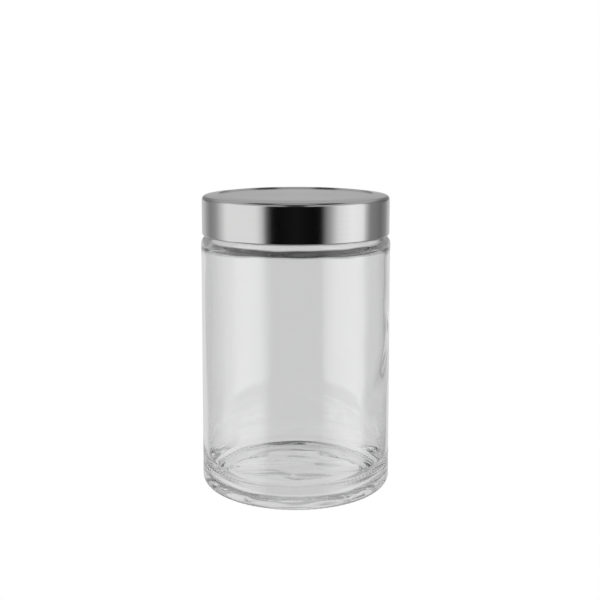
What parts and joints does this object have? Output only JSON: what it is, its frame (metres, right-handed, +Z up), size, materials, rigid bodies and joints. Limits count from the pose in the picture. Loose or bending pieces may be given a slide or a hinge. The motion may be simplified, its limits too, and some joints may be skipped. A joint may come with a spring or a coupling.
{
  "type": "lidded glass canister",
  "caption": "Upright round clear-glass storage canister closed by a screw-on brushed-steel lid with a recessed flat top.",
  "frame": {"origin": "middle of the jar's base, on the surface that it stands on", "axes": "+Z up along the axis of the jar and its lid; X and Y are level, and the object is round about +Z but for its thread"},
  "size_m": [0.1076, 0.1076, 0.1656],
  "materials": {
    "jar_glass": "clear, smooth pressed soda-lime glass",
    "lid_steel": "fine brushed stainless steel, satin to mirror",
    "cap_plastic": "moulded natural polypropylene, satin",
    "seal_silicone": "translucent white silicone, matte"
  },
  "bodies": {
    "jar": {"glass_jar": "jar_glass"},
    "seal": {"sealing_ring": "seal_silicone"},
    "lid": {"lid_shell": "lid_steel", "inner_cap": "cap_plastic"}
  },
  "joints": [
    {"name": "lid_rise", "type": "slide", "parent": "jar", "child": "seal", "axis": [0, 0, 1], "range_m": [0, 0.018]},
    {"name": "lid_turn", "type": "hinge", "parent": "seal", "child": "lid", "pos_m": [0, 0, 0.15], "axis": [0, 0, 1], "range_deg": [0, 1080]}
  ],
  "couplings": [
    {"joint": "lid_rise", "follows": "lid_turn", "m_per_rad": 0.00095492}
  ]
}
